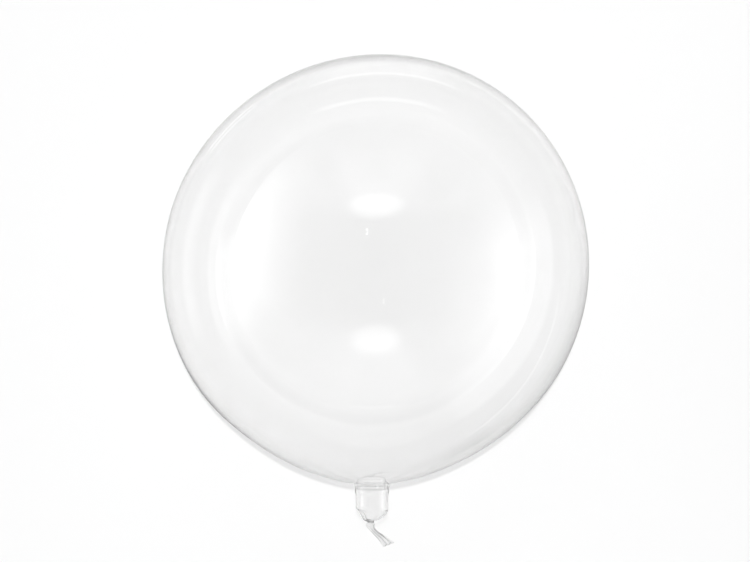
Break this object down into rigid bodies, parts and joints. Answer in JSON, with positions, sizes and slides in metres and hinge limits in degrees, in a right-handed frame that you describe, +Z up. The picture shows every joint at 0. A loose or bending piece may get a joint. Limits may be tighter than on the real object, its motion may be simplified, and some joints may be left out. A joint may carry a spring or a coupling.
{
  "type": "clear bubble balloon",
  "caption": "Clear round film balloon, blown up, with a short necked mouth tied in a knot and a pleated tail, lying on its side.",
  "frame": {"origin": "middle of the small flat spot that the bubble rests on", "axes": "+Z up, -Y along the neck towards the knot and tail, +X to the side that the tail bends to"},
  "size_m": [0.4, 0.4635, 0.3991],
  "materials": {
    "film": "clear, glossy blown plastic film, about 0.05 mm thick"
  },
  "bodies": {
    "root": {"balloon": "film"}
  },
  "joints": []
}
